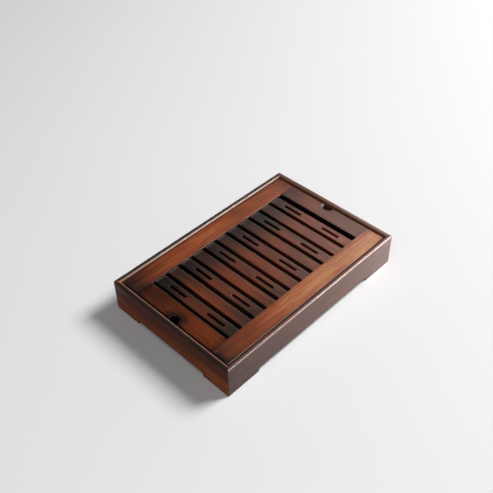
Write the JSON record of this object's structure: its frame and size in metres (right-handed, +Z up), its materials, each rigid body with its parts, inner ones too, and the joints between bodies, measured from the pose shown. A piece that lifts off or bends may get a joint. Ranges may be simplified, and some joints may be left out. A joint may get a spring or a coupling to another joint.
{
  "type": "tea tray",
  "caption": "Rectangular bamboo tea tray: a mitred box on corner feet, a drop-in black water basin and a lift-off slatted lid with drain slots and finger notches.",
  "frame": {"origin": "middle of the footprint, on the surface that the four corner feet stand on", "axes": "+X along the tray's length, +Y from the front long wall to the back one, +Z up"},
  "size_m": [0.35, 0.23, 0.055],
  "materials": {
    "wall_bamboo": "satin lacquer over dark pressed bamboo",
    "key_bamboo": "satin lacquer over dark end grain",
    "panel_bamboo": "thin matt lacquer",
    "frame_bamboo": "satin lacquer over walnut-toned pressed bamboo",
    "slat_bamboo": "satin lacquer over walnut-toned pressed bamboo",
    "basin_plastic": "moulded black plastic, fine satin"
  },
  "bodies": {
    "tray_box": {"front_wall": "wall_bamboo", "back_wall": "wall_bamboo", "left_wall": "wall_bamboo", "right_wall": "wall_bamboo", "key_front_left_lower": "key_bamboo", "key_front_left_upper": "key_bamboo", "key_front_right_lower": "key_bamboo", "key_front_right_upper": "key_bamboo", "key_back_right_lower": "key_bamboo", "key_back_right_upper": "key_bamboo", "key_back_left_lower": "key_bamboo", "key_back_left_upper": "key_bamboo", "bottom_panel": "panel_bamboo"},
    "basin": {"water_basin": "basin_plastic"},
    "lid": {"front_rail": "frame_bamboo", "back_rail": "frame_bamboo", "left_end_board": "frame_bamboo", "right_end_board": "frame_bamboo", "slat_01": "slat_bamboo", "slat_02": "slat_bamboo", "slat_03": "slat_bamboo", "slat_04": "slat_bamboo", "slat_05": "slat_bamboo", "slat_06": "slat_bamboo", "slat_07": "slat_bamboo", "slat_08": "slat_bamboo", "slat_09": "slat_bamboo", "slat_10": "slat_bamboo", "slat_11": "slat_bamboo"}
  },
  "joints": [
    {"name": "basin_lift", "type": "slide", "parent": "tray_box", "child": "basin", "axis": [0, 0, 1], "range_m": [0, 0.06]},
    {"name": "lid_lift", "type": "slide", "parent": "basin", "child": "lid", "axis": [0, 0, 1], "range_m": [0, 0.08]}
  ]
}
